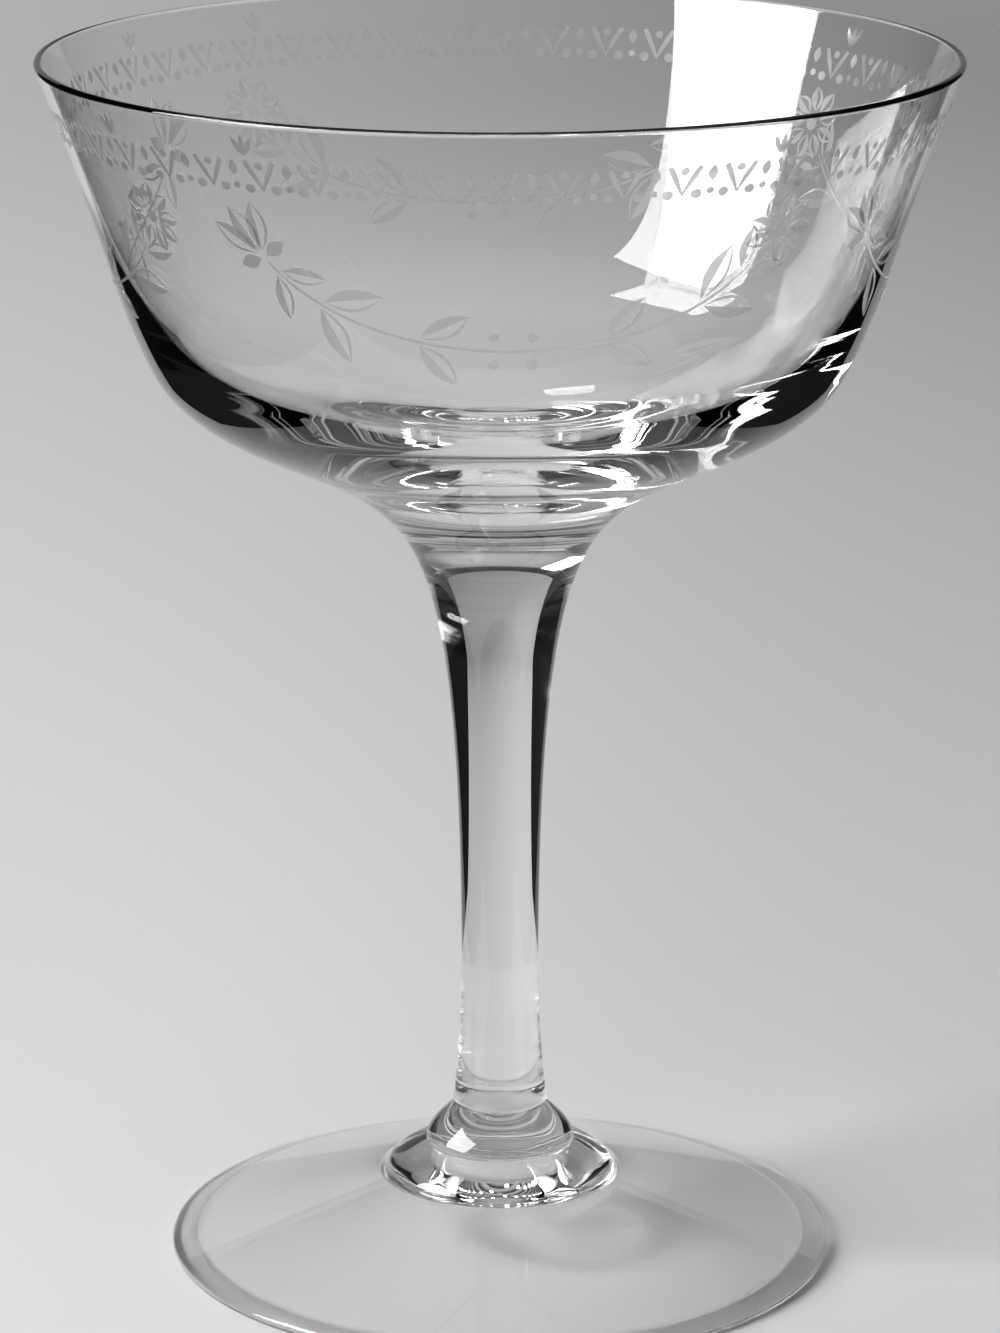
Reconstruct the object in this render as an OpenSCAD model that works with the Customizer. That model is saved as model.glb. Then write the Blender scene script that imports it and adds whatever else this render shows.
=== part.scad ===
// Coupe glass: a flared bowl on a solid drawn stem, with a knop and a spreading foot.
// All four pieces are turned about the Z axis and are joined face to face on flat seats.
// The origin is the centre of the resting ring, so the glass stands on the plane z = 0.

/* [Bowl] */
// Outside diameter across the rim
rim_d = 94; // [84:1:104]
// Height of the bowl, from its seat on the stem to the rim
bowl_h = 45.8; // [40:0.1:52]
// Thickness of the glass at the rim
rim_wall = 0.8; // [0.6:0.1:1.6]
// Outward lean of the wall at the rim, from upright
rim_lean = 22; // [14:1:28]
// Outside diameter at the shoulder, where the wall turns in to the base
shoulder_d = 71.6; // [66:0.1:76]
// Height of the shoulder above the bowl's seat
shoulder_h = 14.3; // [11:0.1:17]
// Outward lean of the outside at the shoulder, from upright
shoulder_lean = 26.5; // [20:0.5:34]
// How far below the shoulder, along the wall, the inside turns in to its floor
hollow_drop = 4.6; // [3:0.1:6]
// Thickness of the glass there, square to the outside
shoulder_wall = 4.3; // [3:0.1:5]
// Outward lean of the inside there, from upright
hollow_lean = 61; // [54:1:66]
// Thickness of the base on the axis, above the seat
base_t = 4.2; // [3:0.1:6]

/* [Stem] */
// Length of the stem, from the knop to the bowl
stem_h = 66.1; // [50:0.1:80]
// Diameter of the flat seat under the bowl
seat_d = 28.2; // [22:0.1:34]
// Slope of the outside where the bowl runs into the stem, from level
seat_slope = 37; // [30:1:45]
// Diameter of the waist, the thinnest place of the stem
waist_d = 8.1; // [6:0.1:11]
// Height of the waist above the knop
waist_h = 14.4; // [8:0.1:24]
// Diameter of the small bead above the joint with the knop
bead_d = 9.9; // [9.6:0.1:12]
// Height of the bead above the knop
bead_h = 0.7; // [0.4:0.1:1.5]
// Diameter of the lower end, in the crease where it joins the knop
stem_base_d = 9.5; // [8:0.1:9.8]

/* [Knop] */
// Height of the knop
knop_h = 4.5; // [3.6:0.1:7]
// Diameter of the knop at its widest
knop_d = 15.7; // [15:0.1:20]
// Height of its widest place above its lower face
knop_belly_h = 0.5; // [0.3:0.05:1.5]
// Downward slope of the dome where it leaves the stem, from level
knop_slope = 43; // [20:1:55]
// Diameter of the crease between the knop and the foot
neck_d = 13.4; // [12:0.1:15]

/* [Foot] */
// Outside diameter of the foot
foot_d = 70; // [60:1:80]
// Height of the foot, from the table to the knop
foot_h = 11.1; // [10.5:0.1:13]
// Thickness of the rounded outer edge
foot_edge_t = 1.3; // [1:0.1:2.4]
// Diameter of the collar, the domed step round the knop
collar_d = 24; // [20:0.1:30]
// Height of the collar's lower rim, where the sloping disc starts
collar_h = 8.35; // [7.4:0.05:9.2]
// Downward slope of the collar where it leaves the knop, from level
collar_slope = 3; // [0:1:24]
// Thickness of the disc at the collar, measured upright
disc_t = 2.7; // [2:0.1:3.6]
// Width of the flat resting ring under the edge
ring_w = 2.4; // [1:0.1:4]
// Depth of the hollow under the foot, on the axis
hollow_h = 8; // [7:0.1:9.6]

/* [Hidden] */

// Straight pieces in each curve, and the facets of a preview
curve_steps = 24;
$fn = 128;

glass_colour = [0.88, 0.91, 0.91, 0.55];
base_colour = [0.82, 0.86, 0.87, 0.55];

// Heights of the seats
knop_z = foot_h;
stem_z = knop_z + knop_h;
bowl_z = stem_z + stem_h;

seat_r = seat_d / 2;
waist_r = waist_d / 2;
stem_base_r = stem_base_d / 2;
neck_r = neck_d / 2;
knop_r = knop_d / 2;
bead_r = bead_d / 2;
collar_r = collar_d / 2;
lip_r = rim_wall / 2;
edge_r = foot_edge_t / 2;

// Directions from their angle: off upright, and off level
function leaning(a) = [sin(a), cos(a)];
function sloping(a) = [cos(a), sin(a)];
upright = leaning(0);
level = sloping(0);

// A cubic curve from a to b. It leaves a along a_dir and comes to b along b_dir.
// a_pull and b_pull say how far each direction holds, in shares of the straight distance.
function curve(a, a_dir, a_pull, b, b_dir, b_pull) =
    let (span = norm(b - a), p = a + a_dir * span * a_pull, q = b - b_dir * span * b_pull)
    [for (i = [0 : curve_steps]) let (t = i / curve_steps, s = 1 - t)
        s * s * s * a + 3 * s * s * t * p + 3 * s * t * t * q + t * t * t * b];

// A round end of radius r about c, from the angle a0 to a1
function round_end(c, r, a0, a1) =
    [for (i = [0 : curve_steps]) c + r * sloping(a0 + (a1 - a0) * i / curve_steps)];

// Bowl: heights are measured from its seat
lip = [rim_d / 2 - lip_r, bowl_h - lip_r];
lip_square = [cos(rim_lean), -sin(rim_lean)];
shoulder = [shoulder_d / 2, shoulder_h];
shoulder_square = [cos(shoulder_lean), -sin(shoulder_lean)];
hollow_shoulder = shoulder - shoulder_square * shoulder_wall - leaning(shoulder_lean) * hollow_drop;
bowl_floor = [0, base_t];

bowl_outside = concat(
    curve(lip + lip_square * lip_r, -leaning(rim_lean), 0.49, shoulder, -leaning(shoulder_lean), 0.26),
    curve(shoulder, -leaning(shoulder_lean), 0.32, [seat_r, 0], -sloping(seat_slope), 0.34));
bowl_lip = round_end(lip, lip_r, 180 - rim_lean, -rim_lean);
bowl_inside = concat(
    curve(bowl_floor, level, 0.32, hollow_shoulder, leaning(hollow_lean), 0.22),
    curve(hollow_shoulder, leaning(hollow_lean), 0.24, lip - lip_square * lip_r, leaning(rim_lean), 0.5));

module bowl() {
    color(glass_colour) translate([0, 0, bowl_z]) rotate_extrude()
        polygon(concat(bowl_outside, [[0, 0]], bowl_inside, bowl_lip));
}

// Stem: heights are measured from the knop
stem_waist = [waist_r, waist_h];
stem_bead = [bead_r, bead_h];
bead_flare = -leaning(-12);
stem_outside = concat(
    curve([seat_r, stem_h], -sloping(seat_slope), 0.15, stem_waist, -upright, 0.78),
    curve(stem_waist, -upright, 0.41, stem_bead, bead_flare, 0.07),
    curve(stem_bead, bead_flare, 0.4, [stem_base_r, 0], -leaning(50), 0.4));

module stem() {
    color(glass_colour) translate([0, 0, stem_z]) rotate_extrude()
        polygon(concat([[0, stem_h]], stem_outside, [[0, 0]]));
}

// Knop: heights are measured from the foot
belly = [knop_r, knop_belly_h];
knop_outside = concat(
    curve([stem_base_r, knop_h], sloping(-knop_slope), 0.37, belly, -upright, 0.26),
    curve(belly, -upright, 0.4, [neck_r, 0], -sloping(25), 0.4));

module knop() {
    color(base_colour) translate([0, 0, knop_z]) rotate_extrude()
        polygon(concat([[0, knop_h]], knop_outside, [[0, 0]]));
}

// Foot: a domed collar round the knop, then a sloping disc to a round edge.
// The underside rises in a straight cone, and from under the collar in a dome.
edge = [foot_d / 2 - edge_r, edge_r];
collar = [collar_r, collar_h];
disc_slope = atan2(collar_h - foot_edge_t, edge.x - collar_r);
ring_in = [edge.x - ring_w, 0];
crown = [collar_r, collar_h - disc_t];
cone = (crown - ring_in) / norm(crown - ring_in);
foot_upside = concat(
    curve([neck_r, foot_h], sloping(-collar_slope), 0.42, collar, -upright, 0.26),
    round_end(edge, edge_r, 90 - disc_slope, -90));
foot_underside = concat([ring_in], curve(crown, cone, 0.33, [0, hollow_h], -level, 0.33));

module foot() {
    color(base_colour) rotate_extrude()
        polygon(concat([[0, foot_h]], foot_upside, foot_underside));
}

bowl();
stem();
knop();
foot();
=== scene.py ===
# Coupe glass of clear hot-worked glass, standing on a sheet of pale paper
import bisect
import math

import bmesh
import bpy
from mathutils import Matrix, Vector


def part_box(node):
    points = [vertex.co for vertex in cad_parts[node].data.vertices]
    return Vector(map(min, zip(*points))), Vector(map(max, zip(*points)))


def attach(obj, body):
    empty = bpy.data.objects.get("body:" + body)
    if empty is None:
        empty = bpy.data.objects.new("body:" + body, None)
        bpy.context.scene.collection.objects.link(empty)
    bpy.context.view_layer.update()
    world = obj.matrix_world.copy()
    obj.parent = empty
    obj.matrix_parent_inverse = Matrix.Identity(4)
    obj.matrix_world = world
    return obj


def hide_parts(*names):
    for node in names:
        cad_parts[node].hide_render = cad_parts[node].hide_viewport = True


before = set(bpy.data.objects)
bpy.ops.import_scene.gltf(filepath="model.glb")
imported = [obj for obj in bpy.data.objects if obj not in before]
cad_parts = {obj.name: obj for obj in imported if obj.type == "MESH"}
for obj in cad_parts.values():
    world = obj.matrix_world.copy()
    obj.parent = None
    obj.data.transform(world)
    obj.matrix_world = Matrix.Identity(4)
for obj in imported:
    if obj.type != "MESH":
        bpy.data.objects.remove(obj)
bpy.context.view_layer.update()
scene = bpy.context.scene

# One millimetre, and the gap under which two points become one, in metres
mm = 0.001
weldGap = 1e-7
print("frame loaded:", sorted(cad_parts))


# Colours are written as sRGB hex and turned to linear
def hexColour(text):
    parts = [int(text[i:i + 2], 16) / 255 for i in (0, 2, 4)]
    linear = [c / 12.92 if c <= 0.04045 else ((c + 0.055) / 1.055) ** 2.4 for c in parts]
    return (*linear, 1.0)


# Adds one node: settings are its properties, inputs its socket values, links its feeding sockets
def addNode(tree, kind, settings=None, inputs=None, links=None):
    node = tree.nodes.new(kind)
    for key, value in (settings or {}).items():
        setattr(node, key, value)
    for key, value in (inputs or {}).items():
        node.inputs[key].default_value = value
    for key, socket in (links or {}).items():
        tree.links.new(socket, node.inputs[key])
    return node


def newMaterial(name):
    material = bpy.data.materials.new(name)
    material.use_nodes = True
    material.node_tree.nodes.clear()
    return material, material.node_tree


# Clear crystal glass, fire polished: bright and colourless, with black edges where it turns away
# Hot working leaves a slow, faint waviness, which bends the edges of reflections; sizes in millimetres
glassLook = {"tint": "fefefe", "ior": 1.53, "roughness": 0.0, "waveL": 16, "waveH": 0.03}


def clearGlass(s):
    material, tree = newMaterial("clear_fire_polished_glass")
    place = addNode(tree, "ShaderNodeTexCoord").outputs["Object"]
    wave = addNode(tree, "ShaderNodeTexNoise", inputs={"Scale": 1 / (s["waveL"] * mm), "Detail": 0.0},
                   links={"Vector": place}).outputs["Fac"]
    normal = addNode(tree, "ShaderNodeBump", inputs={"Distance": s["waveH"] * mm},
                     links={"Height": wave}).outputs["Normal"]
    shader = addNode(tree, "ShaderNodeBsdfPrincipled", inputs={
        "Base Color": hexColour(s["tint"]), "Roughness": s["roughness"], "IOR": s["ior"],
        "Transmission Weight": 1.0}, links={"Normal": normal})
    addNode(tree, "ShaderNodeOutputMaterial", links={"Surface": shader.outputs["BSDF"]})
    return material


# Hot joint: the gathers are melted into each other, so the seat between them can't be seen
def meltedJoint():
    material, tree = newMaterial("melted_glass_joint")
    shader = addNode(tree, "ShaderNodeBsdfPrincipled", inputs={"Alpha": 0.0, "Roughness": 0.0})
    addNode(tree, "ShaderNodeOutputMaterial", links={"Surface": shader.outputs["BSDF"]})
    return material


# Acid-etched glass: a fine frosting that scatters what lies behind it, so that it reads grey on clear glass
# The acid bites unevenly, so the frosting is denser in some places than in others; sizes in millimetres
etchLook = {"tint": "f4f4f4", "ior": 1.53, "cover": 0.55, "finest": 0.4, "roughest": 0.6, "biteL": 1.5,
            "gritL": 0.2, "gritH": 0.004}


# Glass with a rough skin of uneven grain, for etched and for worn surfaces
def dulledGlass(name, s):
    material, tree = newMaterial(name)
    place = addNode(tree, "ShaderNodeTexCoord").outputs["Object"]
    bite = addNode(tree, "ShaderNodeTexNoise", inputs={"Scale": 1 / (s["biteL"] * mm)},
                   links={"Vector": place}).outputs["Fac"]
    roughness = addNode(tree, "ShaderNodeMapRange", inputs={"To Min": s["finest"], "To Max": s["roughest"]},
                        links={"Value": bite}).outputs["Result"]
    grit = addNode(tree, "ShaderNodeTexNoise", inputs={"Scale": 1 / (s["gritL"] * mm)},
                   links={"Vector": place}).outputs["Fac"]
    normal = addNode(tree, "ShaderNodeBump", inputs={"Distance": s["gritH"] * mm},
                     links={"Height": grit}).outputs["Normal"]
    shader = addNode(tree, "ShaderNodeBsdfPrincipled", inputs={
        "Base Color": hexColour(s["tint"]), "IOR": s["ior"], "Transmission Weight": 1.0,
        "Alpha": s["cover"]}, links={"Roughness": roughness, "Normal": normal})
    addNode(tree, "ShaderNodeOutputMaterial", links={"Surface": shader.outputs["BSDF"]})
    return material


glass = clearGlass(glassLook)
joint = meltedJoint()
frosting = dulledGlass("acid_etched_glass", etchLook)


# Directions in the profile plane, radius first, from an angle off upright or off level
def leaning(angle):
    return Vector((math.sin(math.radians(angle)), math.cos(math.radians(angle))))


def sloping(angle):
    return Vector((math.cos(math.radians(angle)), math.sin(math.radians(angle))))


level = sloping(0)
upright = leaning(0)


# Cubic curve from a to b that leaves along aDir and arrives along bDir
# Its points crowd towards both ends, so that pieces meet in line
def curve(a, aDir, aPull, b, bDir, bPull, steps=48):
    span = (b - a).length
    p = a + aDir * span * aPull
    q = b - bDir * span * bPull
    ts = [(1 - math.cos(math.pi * i / steps)) / 2 for i in range(steps + 1)]
    return [a * (1 - t) ** 3 + p * 3 * t * (1 - t) ** 2 + q * 3 * t * t * (1 - t) + b * t ** 3 for t in ts]


# Round end of radius r about c, from one angle to another
def roundEnd(c, r, start, stop, steps=16):
    return [c + sloping(start + (stop - start) * i / steps) * r for i in range(steps + 1)]


# Turns a profile, in millimetres, into a closed piece: a quarter turn, mirrored twice
# Seats are pairs of height and radius, and their faces get the joint material
def turnPiece(name, profile, seats, steps=64, seatGap=1e-3):
    bm = bmesh.new()
    verts = [bm.verts.new((p.x * mm, 0, p.y * mm)) for p in profile]
    edges = [bm.edges.new(pair) for pair in zip(verts, verts[1:])]
    bmesh.ops.spin(bm, geom=verts + edges, cent=(0, 0, 0), axis=(0, 0, 1), dvec=(0, 0, 0),
                   angle=math.pi / 2, steps=steps, use_merge=False)
    for axis in "XY":
        bmesh.ops.mirror(bm, geom=bm.verts[:] + bm.edges[:] + bm.faces[:], matrix=Matrix(),
                         merge_dist=weldGap, axis=axis)
    bmesh.ops.remove_doubles(bm, verts=bm.verts, dist=weldGap)
    bmesh.ops.recalc_face_normals(bm, faces=bm.faces)
    for face in bm.faces:
        places = [(v.co.z / mm, v.co.xy.length / mm) for v in face.verts]
        seat = any(all(abs(z - seatZ) < seatGap and r < seatR + seatGap for z, r in places)
                   for seatZ, seatR in seats)
        face.smooth = not seat
        face.material_index = int(seat)
    mesh = bpy.data.meshes.new(name)
    bm.to_mesh(mesh)
    bm.free()
    mesh.materials.append(glass)
    mesh.materials.append(joint)
    piece = bpy.data.objects.new(name, mesh)
    scene.collection.objects.link(piece)
    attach(piece, "root")
    print("turned", name, len(mesh.polygons), "faces")
    return piece


# Heights of the seats and of the rim come from the frame, in millimetres
def nodeTop(node):
    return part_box(node)[1].z / mm


knopZ = nodeTop("foot")
stemZ = nodeTop("knop")
bowlZ = nodeTop("stem")
rimZ = nodeTop("bowl")

# Bowl: sizes in millimetres, leans in degrees off upright, pulls as shares of a curve's span
bowlSizes = {"rimD": 94, "rimWall": 0.8, "rimLean": 22, "shoulderD": 71.6, "shoulderH": 14.3,
             "shoulderLean": 26.5, "shoulderWall": 4.3, "hollowLean": 61, "hollowDrop": 4.6, "baseT": 4.2,
             "seatD": 28.2, "seatSlope": 37, "wallPull": (0.49, 0.26), "basePull": (0.32, 0.34),
             "floorPull": (0.32, 0.22), "hollowPull": (0.24, 0.5)}


# Outside from the lip down to the seat, and inside from the floor's middle up and over the lip
def bowlOutline(s):
    lipR = s["rimWall"] / 2
    lip = Vector((s["rimD"] / 2 - lipR, rimZ - lipR))
    lipEdge = sloping(-s["rimLean"]) * lipR
    shoulder = Vector((s["shoulderD"] / 2, bowlZ + s["shoulderH"]))
    seat = Vector((s["seatD"] / 2, bowlZ))
    rimUp = leaning(s["rimLean"])
    shoulderUp = leaning(s["shoulderLean"])
    wall = curve(lip + lipEdge, -rimUp, s["wallPull"][0], shoulder, -shoulderUp, s["wallPull"][1])
    base = curve(shoulder, -shoulderUp, s["basePull"][0], seat, -sloping(s["seatSlope"]), s["basePull"][1])
    hollow = shoulder - sloping(-s["shoulderLean"]) * s["shoulderWall"] - shoulderUp * s["hollowDrop"]
    hollowUp = leaning(s["hollowLean"])
    floor = Vector((0, bowlZ + s["baseT"]))
    bottom = curve(floor, level, s["floorPull"][0], hollow, hollowUp, s["floorPull"][1])
    inner = curve(hollow, hollowUp, s["hollowPull"][0], lip - lipEdge, rimUp, s["hollowPull"][1])
    end = roundEnd(lip, lipR, 180 - s["rimLean"], -s["rimLean"])
    return wall + base[1:], bottom + inner[1:] + end[1:-1]


outside, inside = bowlOutline(bowlSizes)
bowlProfile = [Vector((0, bowlZ))] + outside[::-1] + inside[::-1]
bowl = turnPiece("bowl_glass", bowlProfile, [(bowlZ, bowlSizes["seatD"] / 2)])
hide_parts("bowl")

# Etched ornament, drawn flat in millimetres: across from the front, down the wall from the lip and outwards
# It is wrapped round the wall later, as thin plates that stand just off the glass
# A line narrows over a share of its length at each end
etchSizes = {"turnR": 41, "lift": 0.03, "thick": 0.04, "line": 0.28, "taper": 0.25, "weld": 1e-4,
             "borderUnits": 48, "repeats": 4}
etchRound = 2 * math.pi * etchSizes["turnR"]
wallRuns = [0.0]
for upper, lower in zip(outside, outside[1:]):
    wallRuns.append(wallRuns[-1] + (lower - upper).length)


# Place of a flat point on the outside of the wall, in metres
def onWall(flat):
    i = bisect.bisect(wallRuns, flat.y) - 1
    along = (outside[i + 1] - outside[i]).normalized()
    place = outside[i] + along * (flat.y - wallRuns[i]) + Vector((-along.y, along.x)) * flat.z
    turn = flat.x / etchSizes["turnR"]
    return Vector((math.sin(turn) * place.x, -math.cos(turn) * place.x, place.y)) * mm


# One mark: a strip along a spine, with a half width for each point of the spine
def addStrip(bm, spine, halves):
    last = len(spine) - 1
    for v in bmesh.ops.create_grid(bm, x_segments=last, y_segments=1, size=1)["verts"]:
        i = round((v.co.x + 1) / 2 * last)
        ahead = spine[min(i + 1, last)] - spine[max(i - 1, 0)]
        square = Vector((-ahead.y, ahead.x)).normalized()
        v.co = (spine[i] + square * v.co.y * halves[i]).to_3d()


def addLine(bm, spine):
    shares = [i / (len(spine) - 1) for i in range(len(spine))]
    taper = [min(1, share / etchSizes["taper"], (1 - share) / etchSizes["taper"]) for share in shares]
    addStrip(bm, spine, [etchSizes["line"] / 2 * k for k in taper])


# Almond from its base along an angle; a dot is a round one
def addAlmond(bm, base, angle, length, width, steps=8):
    spine = [base + sloping(angle) * length * i / steps for i in range(steps + 1)]
    addStrip(bm, spine, [math.sin(math.pi * i / steps) * width / 2 for i in range(steps + 1)])


def addDot(bm, centre, r, steps=8):
    places = [-math.cos(math.pi * i / steps) for i in range(steps + 1)]
    halves = [r * math.sin(math.pi * i / steps) for i in range(steps + 1)]
    addStrip(bm, [centre + level * r * k for k in places], halves)


# Leaf with one half filled and the other only outlined
def addLeaf(bm, base, angle, length, width, side, steps=10):
    square = sloping(angle + 90) * side
    swell = [math.sin(math.pi * i / steps) * width / 2 for i in range(steps + 1)]
    rib = [base + sloping(angle) * length * i / steps for i in range(steps + 1)]
    addStrip(bm, [p + square * w / 2 for p, w in zip(rib, swell)], [w / 2 for w in swell])
    addLine(bm, [p - square * w for p, w in zip(rib, swell)])


# Flat marks become thin closed plates, wrapped round the wall
def etchPiece(name, bm):
    bmesh.ops.remove_doubles(bm, verts=bm.verts, dist=etchSizes["weld"])
    bmesh.ops.translate(bm, verts=bm.verts, vec=(0, 0, etchSizes["lift"]))
    made = bmesh.ops.extrude_face_region(bm, geom=bm.faces[:])
    raised = [v for v in made["geom"] if isinstance(v, bmesh.types.BMVert)]
    bmesh.ops.translate(bm, verts=raised, vec=(0, 0, etchSizes["thick"]))
    for v in bm.verts:
        v.co = onWall(v.co)
    bmesh.ops.recalc_face_normals(bm, faces=bm.faces)
    mesh = bpy.data.meshes.new(name)
    bm.to_mesh(mesh)
    bm.free()
    mesh.materials.append(frosting)
    piece = bpy.data.objects.new(name, mesh)
    scene.collection.objects.link(piece)
    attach(piece, "root")
    print("etched", name, len(mesh.polygons), "faces")
    return piece


# Border: chevrons, each with a dot in it, between drops that stand over dots
borderSizes = {"top": 3.7, "chevronW": 2.9, "chevronH": 3.0, "chevronLine": 0.5, "dotR": 0.5,
               "chevronDot": 0.8, "dropL": 1.7, "dropW": 0.9, "dropDot": 0.7}


def etchBorder(s):
    bm = bmesh.new()
    pitch = etchRound / etchSizes["borderUnits"]
    for i in range(etchSizes["borderUnits"]):
        middle = Vector((pitch * i, s["top"]))
        tip = middle + upright * s["chevronH"]
        left, right = [middle + level * s["chevronW"] / 2 * k for k in (-1, 1)]
        chevron = [left, left.lerp(tip, 0.5), tip, right.lerp(tip, 0.5), right]
        addStrip(bm, chevron, [s["chevronLine"] / 2] * len(chevron))
        addDot(bm, middle + upright * s["dotR"], s["dotR"] * s["chevronDot"])
        for k in (-1, 1):
            addDot(bm, tip + level * k * pitch / 4, s["dotR"])
        drop = middle + level * pitch / 2
        addAlmond(bm, drop, 90, s["dropL"], s["dropW"])
        addDot(bm, drop + upright * (s["chevronH"] - s["dotR"] / 2), s["dotR"] * s["dropDot"])
    return etchPiece("etched_border", bm)


etchBorder(borderSizes)

# Garland: a hanging vine with leaves, from a bud to a rosette, with a sprig over each end; fans in degrees
# Leaves come in pairs, each at a share of the vine's points and grown to a share of the full size
# The rosette's shares are of its radius
garlandSizes = {"shift": 1.3, "halfSpan": 24, "top": 14.5, "dip": 52, "vinePull": 0.3, "leafL": 6.2,
                "leafW": 2.3, "leafFan": 38, "leafGap": 0.4, "berryR": 0.5, "berryGap": 1.5, "petalL": 5.2,
                "petalW": 2.0, "budFan": 26, "budTurn": 8, "sepalFan": 80, "sepalGrow": 0.75,
                "rosetteR": 3.6, "rosettePetals": 9, "sprigFan": 24, "sprigL": 2.5, "sprigGrow": 0.9,
                "sprigW": 0.5, "sprigFoot": 3.4}
rosetteShares = {"eye": 0.2, "petalStart": 0.34, "petalL": 0.72, "petalW": 0.4}
leafPairs = {0.12: 0.75, 0.26: 1.0, 0.4: 0.9, 0.6: 0.9, 0.74: 1.0, 0.88: 0.75}
berryPairs = (0.47, 0.53)


def etchBud(bm, base, angle, s):
    for k in (-1, 0, 1):
        way = angle + k * s["budFan"]
        start = base + sloping(way) * 2 * s["leafGap"]
        addLeaf(bm, start, way, s["petalL"], s["petalW"], 1 if k < 0 else -1)
    for k in (-1, 1):
        way = angle + k * s["sepalFan"]
        start = base + sloping(way) * s["leafGap"]
        addAlmond(bm, start, way, s["petalL"] / 2, s["petalW"] * s["sepalGrow"])


def etchRosette(bm, centre, s):
    shares = rosetteShares
    r = s["rosetteR"]
    addDot(bm, centre, r * shares["eye"])
    for i in range(s["rosettePetals"]):
        way = 360 * i / s["rosettePetals"]
        start = centre + sloping(way) * r * shares["petalStart"]
        addLeaf(bm, start, way, r * shares["petalL"], r * shares["petalW"], 1)


def etchSprig(bm, foot, s):
    for k in (-1, 0, 1):
        way = 90 + k * s["sprigFan"]
        tip = foot - sloping(way) * s["sprigL"]
        addAlmond(bm, tip, way, s["sprigL"] * s["sprigGrow"], s["sprigW"])


def etchGarland(s):
    bm = bmesh.new()
    for i in range(etchSizes["repeats"]):
        middle = level * (etchRound * i / etchSizes["repeats"] + s["shift"])
        left = middle + Vector((-s["halfSpan"], s["top"]))
        right = middle + Vector((s["halfSpan"], s["top"]))
        vine = curve(left, sloping(s["dip"]), s["vinePull"], right, sloping(-s["dip"]), s["vinePull"])
        addLine(bm, vine)
        for share, grow in leafPairs.items():
            at = round(share * (len(vine) - 1))
            ahead = vine[at + 1] - vine[at - 1]
            angle = math.degrees(math.atan2(ahead.y, ahead.x))
            for k in (-1, 1):
                base = vine[at] + sloping(angle + 90) * k * s["leafGap"]
                addLeaf(bm, base, angle + k * s["leafFan"], s["leafL"] * grow, s["leafW"] * grow, k)
        for share in berryPairs:
            at = vine[round(share * (len(vine) - 1))]
            for k in (-1, 1):
                addDot(bm, at + upright * k * s["berryGap"], s["berryR"])
        etchBud(bm, left - sloping(s["dip"]) * s["leafGap"], 180 + s["dip"] + s["budTurn"], s)
        etchRosette(bm, right + sloping(-s["dip"]) * s["rosetteR"], s)
        for end in (left, right):
            etchSprig(bm, Vector((end.x, s["sprigFoot"])), s)
    return etchPiece("etched_garland", bm)


etchGarland(garlandSizes)

# Stem: solid, flared to the bowl's seat, with a waist low down and a small bead under it
stemSizes = {"seatD": 28.2, "seatSlope": 37, "waistD": 8.1, "waistH": 14.4, "beadD": 9.9, "beadH": 0.7,
             "baseD": 9.5, "beadLean": 12, "baseLean": 50, "upperPull": (0.15, 0.78), "upperSteps": 96,
             "lowerPull": (0.41, 0.07), "beadPull": (0.4, 0.4), "beadSteps": 24}


def stemProfile(s):
    seat = Vector((s["seatD"] / 2, bowlZ))
    waist = Vector((s["waistD"] / 2, stemZ + s["waistH"]))
    bead = Vector((s["beadD"] / 2, stemZ + s["beadH"]))
    base = Vector((s["baseD"] / 2, stemZ))
    beadDown = -leaning(-s["beadLean"])
    upper = curve(seat, -sloping(s["seatSlope"]), s["upperPull"][0], waist, -upright, s["upperPull"][1],
                  s["upperSteps"])
    lower = curve(waist, -upright, s["lowerPull"][0], bead, beadDown, s["lowerPull"][1])
    under = curve(bead, beadDown, s["beadPull"][0], base, -leaning(s["baseLean"]), s["beadPull"][1],
                  s["beadSteps"])
    return [Vector((0, bowlZ))] + upper + lower[1:] + under[1:] + [Vector((0, stemZ))]


stemTop = (bowlZ, stemSizes["seatD"] / 2)
stemFoot = (stemZ, stemSizes["baseD"] / 2)
stem = turnPiece("stem_glass", stemProfile(stemSizes), [stemTop, stemFoot])
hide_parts("stem")

# Knop: a domed bead between the stem and the foot
knopSizes = {"bellyD": 15.7, "bellyH": 0.5, "domeSlope": 43, "domePull": (0.37, 0.26), "neckD": 13.4,
             "neckSlope": 25, "neckPull": (0.4, 0.4), "neckSteps": 24}


def knopProfile(s):
    top = Vector((stemSizes["baseD"] / 2, stemZ))
    belly = Vector((s["bellyD"] / 2, knopZ + s["bellyH"]))
    neck = Vector((s["neckD"] / 2, knopZ))
    dome = curve(top, sloping(-s["domeSlope"]), s["domePull"][0], belly, -upright, s["domePull"][1])
    under = curve(belly, -upright, s["neckPull"][0], neck, -sloping(s["neckSlope"]), s["neckPull"][1],
                  s["neckSteps"])
    return [Vector((0, stemZ))] + dome + under[1:] + [Vector((0, knopZ))]


knopFoot = (knopZ, knopSizes["neckD"] / 2)
knop = turnPiece("knop_glass", knopProfile(knopSizes), [stemFoot, knopFoot])
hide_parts("knop")

# Foot: a domed collar, a sloping disc with a round edge, and a hollow under it inside the resting ring
footSizes = {"footD": 70, "edgeT": 1.3, "collarD": 24, "collarH": 8.35, "collarSlope": 3,
             "collarPull": (0.42, 0.26), "ringW": 2.4, "discT": 2.7, "discSteps": 24,
             "crownPull": (0.33, 0.33), "hollowH": 8.0}


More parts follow.
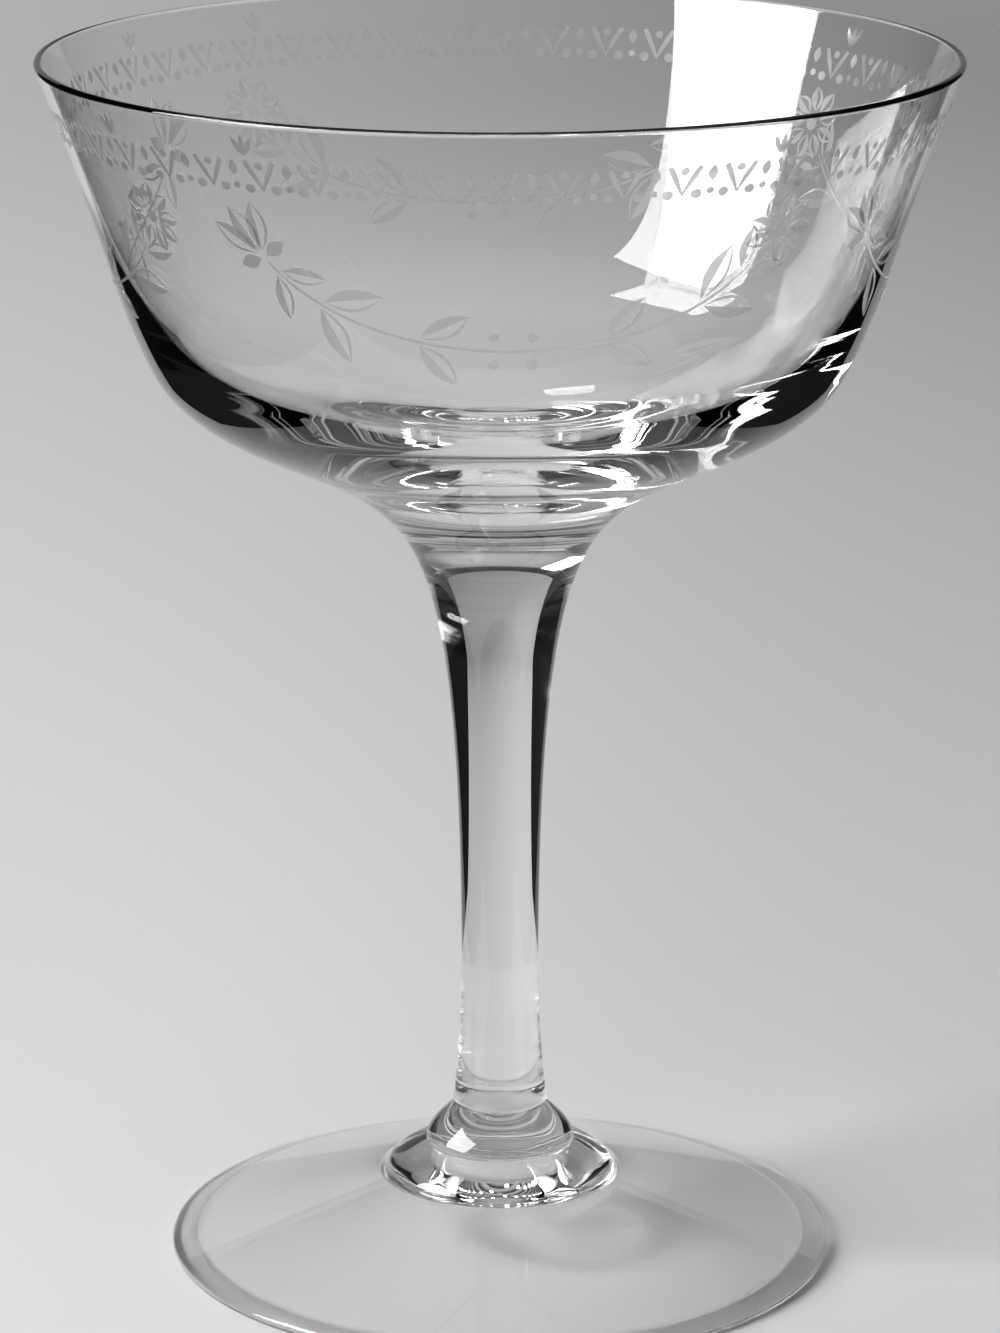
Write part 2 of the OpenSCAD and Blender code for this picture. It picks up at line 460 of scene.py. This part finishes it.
def footProfile(s):
    edgeR = s["edgeT"] / 2
    edge = Vector((s["footD"] / 2 - edgeR, edgeR))
    collar = Vector((s["collarD"] / 2, s["collarH"]))
    slope = math.degrees(math.atan2(collar.y - s["edgeT"], edge.x - collar.x))
    neck = Vector((knopSizes["neckD"] / 2, knopZ))
    brow = curve(neck, sloping(-s["collarSlope"]), s["collarPull"][0], collar, -upright, s["collarPull"][1])
    end = roundEnd(edge, edgeR, 90 - slope, -90)
    steps = s["discSteps"]
    disc = [collar.lerp(end[0], i / steps) for i in range(steps)]
    ring = Vector((edge.x - s["ringW"], 0))
    crown = Vector((collar.x, collar.y - s["discT"]))
    cone = [ring.lerp(crown, i / steps) for i in range(steps)]
    top = Vector((0, s["hollowH"]))
    coneUp = (crown - ring).normalized()
    hollow = curve(crown, coneUp, s["crownPull"][0], top, -level, s["crownPull"][1])
    return [Vector((0, knopZ))] + brow + disc[1:] + end + cone + hollow


foot = turnPiece("foot_glass", footProfile(footSizes), [knopFoot])
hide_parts("foot")

# Worn glass: the flat ring that the foot stands on is rubbed dull, so the edge shows the paper under it
wornLook = {"tint": "fefefe", "ior": 1.53, "cover": 0.33, "finest": 0.3, "roughest": 0.5, "biteL": 1.5,
            "gritL": 0.2, "gritH": 0.004, "ringZ": 0.001}
foot.data.materials.append(dulledGlass("worn_glass", wornLook))
for face in foot.data.polygons:
    if face.center.z < wornLook["ringZ"] * mm:
        face.use_smooth = False
        face.material_index = len(foot.data.materials) - 1

# Paper: a pale sheet under the glass, which widens to the back and curves up behind it; sizes in metres
# The side, back and rise tones below paint shade into the paper's colour: darker away from the softbox, to
# the back and up the curve
paperLook = {"tone": "c8c8c8", "front": -0.08, "bend": 0.75, "radius": 0.7, "top": 0.72, "halfLeast": 0.095,
             "halfMiddle": 0.055, "flare": 0.42, "gap": 0.00005, "paintedSideShade": 0.085, "paintedSideShadePerM": 0.1,
             "sideReach": 0.6, "paintedBackShade": -0.54, "paintedRiseShade": -0.15, "leastPaintedTone": 0.45, "fibreL": 0.0007,
             "fibreH": 0.00001, "fibreDetail": 4.0, "roughness": 0.9, "specular": 0.1, "steps": 24}


def paperMesh(s):
    bm = bmesh.new()
    centre = Vector((0, s["bend"], s["radius"]))
    steps = s["steps"]
    route = [Vector((0, s["front"] + (s["bend"] - s["front"]) * i / steps, 0)) for i in range(steps)]
    for i in range(steps + 1):
        turn = math.radians(90 * i / steps)
        route.append(centre + Vector((0, math.sin(turn), -math.cos(turn))) * s["radius"])
    route.append(Vector((0, s["bend"] + s["radius"], s["top"])))
    halves = [max(s["halfLeast"], s["halfMiddle"] + s["flare"] * (p.y + p.z)) for p in route]
    edges = []
    for k in (-1, 1):
        side = [bm.verts.new((k * half, p.y, p.z - s["gap"])) for p, half in zip(route, halves)]
        edges += [bm.edges.new(pair) for pair in zip(side, side[1:])]
    bmesh.ops.bridge_loops(bm, edges=edges)
    bmesh.ops.recalc_face_normals(bm, faces=bm.faces)
    for face in bm.faces:
        face.smooth = True
    mesh = bpy.data.meshes.new("paper_sheet")
    bm.to_mesh(mesh)
    bm.free()
    return mesh


# Matt paper with painted shade: its colour is painted lightest by the softbox, and painted darker to the
# other side, the back and the top, where the light falls off
# The painted change to the sides is strongest at the share sideReach of the half width, where the bell is 1
def paintedShadePaper(s):
    material, tree = newMaterial("matt_paper_painted_shade")
    place = addNode(tree, "ShaderNodeTexCoord").outputs["Object"]
    axes = addNode(tree, "ShaderNodeSeparateXYZ", links={"Vector": place}).outputs

    def maths(operation, *values):
        numbers = {i: v for i, v in enumerate(values) if isinstance(v, float)}
        sockets = {i: v for i, v in enumerate(values) if not isinstance(v, float)}
        return addNode(tree, "ShaderNodeMath", {"operation": operation}, numbers, sockets).outputs[0]

    run = maths("MULTIPLY_ADD", maths("ADD", axes["Y"], axes["Z"]), s["flare"], s["halfMiddle"])
    half = maths("MULTIPLY", maths("MAXIMUM", run, s["halfLeast"]), -s["sideReach"])
    share = maths("DIVIDE", axes["X"], half)
    bell = maths("EXPONENT", maths("MULTIPLY_ADD", maths("MULTIPLY", share, share), -0.5, 0.5))
    # Painted shade across the paper: lighter towards the softbox and darker on the far side, then painted
    # shade to the back and up the curve
    strength = maths("MULTIPLY_ADD", axes["Y"], s["paintedSideShadePerM"], s["paintedSideShade"])
    side = maths("MULTIPLY_ADD", maths("MULTIPLY", share, bell), strength, 1.0)
    back = maths("MULTIPLY_ADD", axes["Y"], s["paintedBackShade"], side)
    rise = maths("MULTIPLY_ADD", axes["Z"], s["paintedRiseShade"], back)
    amount = maths("MAXIMUM", rise, s["leastPaintedTone"])
    colour = addNode(tree, "ShaderNodeVectorMath", {"operation": "SCALE"}, {0: hexColour(s["tone"])[:3]},
                     {"Scale": amount}).outputs[0]
    fibre = addNode(tree, "ShaderNodeTexNoise", inputs={
        "Scale": 1 / s["fibreL"], "Detail": s["fibreDetail"]}, links={"Vector": place}).outputs["Fac"]
    normal = addNode(tree, "ShaderNodeBump", inputs={"Distance": s["fibreH"]},
                     links={"Height": fibre}).outputs["Normal"]
    shader = addNode(tree, "ShaderNodeBsdfPrincipled", inputs={
        "Roughness": s["roughness"], "Specular IOR Level": s["specular"]},
        links={"Base Color": colour, "Normal": normal})
    addNode(tree, "ShaderNodeOutputMaterial", links={"Surface": shader.outputs["BSDF"]})
    return material


# The paper's material has shade painted into its colour
paper = bpy.data.objects.new("paper_sheet", paperMesh(paperLook))
paper.data.materials.append(paintedShadePaper(paperLook))
scene.collection.objects.link(paper)

# Table: black felt round the paper, which gives the glass its dark edges
tableLook = {"dark": "0c0c0c", "light": "161616", "fibreL": 0.002, "fibreH": 0.0003, "fibreDetail": 4.0,
             "roughness": 1.0, "specular": 0.05, "half": 3.0, "drop": 0.0004}


# Black wool felt: matt and deep, with a short matted nap
def blackFelt(s):
    material, tree = newMaterial("black_wool_felt")
    place = addNode(tree, "ShaderNodeTexCoord").outputs["Object"]
    nap = addNode(tree, "ShaderNodeTexNoise", inputs={
        "Scale": 1 / s["fibreL"], "Detail": s["fibreDetail"]}, links={"Vector": place}).outputs["Fac"]
    tones = {"A": hexColour(s["dark"]), "B": hexColour(s["light"])}
    colour = addNode(tree, "ShaderNodeMix", {"data_type": "RGBA"}, tones, {"Factor": nap}).outputs["Result"]
    normal = addNode(tree, "ShaderNodeBump", inputs={"Distance": s["fibreH"]},
                     links={"Height": nap}).outputs["Normal"]
    shader = addNode(tree, "ShaderNodeBsdfPrincipled", inputs={
        "Roughness": s["roughness"], "Specular IOR Level": s["specular"]},
        links={"Base Color": colour, "Normal": normal})
    addNode(tree, "ShaderNodeOutputMaterial", links={"Surface": shader.outputs["BSDF"]})
    return material


def tableMesh(s):
    bm = bmesh.new()
    below = Matrix.Translation((0, 0, -s["drop"]))
    bmesh.ops.create_grid(bm, x_segments=1, y_segments=1, size=s["half"], matrix=below)
    mesh = bpy.data.meshes.new("felt_table")
    bm.to_mesh(mesh)
    bm.free()
    return mesh


table = bpy.data.objects.new("felt_table", tableMesh(tableLook))
table.data.materials.append(blackFelt(tableLook))
scene.collection.objects.link(table)
print("paper and table laid")

# Softbox: azimuth is measured from the camera's side towards the left, elevation off level; sizes in metres
softboxSet = {"azimuth": 74, "elevation": 28, "distance": 4.0, "aimZ": 0.09, "wide": 2.83, "tall": 3.0,
              "power": 361}


def addSoftbox(s):
    data = bpy.data.lights.new("softbox", "AREA")
    data.shape = "RECTANGLE"
    data.size = s["wide"]
    data.size_y = s["tall"]
    data.energy = s["power"]
    light = bpy.data.objects.new("softbox", data)
    a = math.radians(s["azimuth"])
    e = math.radians(s["elevation"])
    out = Vector((-math.sin(a) * math.cos(e), -math.cos(a) * math.cos(e), math.sin(e)))
    light.location = Vector((0, 0, s["aimZ"])) + out * s["distance"]
    light.rotation_euler = out.to_track_quat("Z", "Y").to_euler()
    scene.collection.objects.link(light)


addSoftbox(softboxSet)

# Dim studio: dark round the table, with a soft pale ceiling; the rise is the sine of the elevation
roomLook = {"colour": "ffffff", "wall": 0.01, "ceiling": 0.42, "riseStart": 0.58, "riseEnd": 0.92}


def studioRoom(s):
    world = bpy.data.worlds.new("dim_studio")
    world.use_nodes = True
    tree = world.node_tree
    tree.nodes.clear()
    place = addNode(tree, "ShaderNodeTexCoord").outputs["Generated"]
    height = addNode(tree, "ShaderNodeSeparateXYZ", links={"Vector": place}).outputs["Z"]
    strength = addNode(tree, "ShaderNodeMapRange", {"interpolation_type": "SMOOTHSTEP"}, {
        "From Min": s["riseStart"], "From Max": s["riseEnd"], "To Min": s["wall"], "To Max": s["ceiling"]},
        {"Value": height}).outputs["Result"]
    light = addNode(tree, "ShaderNodeBackground", inputs={"Color": hexColour(s["colour"])},
                    links={"Strength": strength})
    addNode(tree, "ShaderNodeOutputWorld", links={"Surface": light.outputs["Background"]})
    return world


scene.world = studioRoom(roomLook)

# Camera: the photograph's own view, fitted to the ellipses of the rim and the foot; sizes in millimetres
cameraSet = {"standoff": 539.5, "height": 211.8, "pitch": 15.38, "focalPixels": 5375, "imageTall": 1333,
             "sensor": 36}
cameraData = bpy.data.cameras.new("camera")
cameraData.sensor_width = cameraSet["sensor"]
cameraData.lens = cameraSet["sensor"] * cameraSet["focalPixels"] / cameraSet["imageTall"]
camera = bpy.data.objects.new("camera", cameraData)
camera.location = (0, -cameraSet["standoff"] * mm, cameraSet["height"] * mm)
camera.rotation_euler = (math.radians(90 - cameraSet["pitch"]), 0, 0)
scene.collection.objects.link(camera)
scene.camera = camera
print("light and camera set")

# Light has to cross many glass surfaces, but with more reflections the bowl's right wall turns white
pathLimits = {"surfaces": 128, "reflections": 13}
scene.cycles.max_bounces = pathLimits["surfaces"]
scene.cycles.transmission_bounces = pathLimits["surfaces"]
scene.cycles.transparent_max_bounces = pathLimits["surfaces"]
scene.cycles.glossy_bounces = pathLimits["reflections"]
scene.view_settings.view_transform = "Standard"

# The floor under the foot is lit only through the glass, so that light is neither blurred nor cut
scene.cycles.blur_glossy = 0.0
scene.cycles.sample_clamp_indirect = 0.0
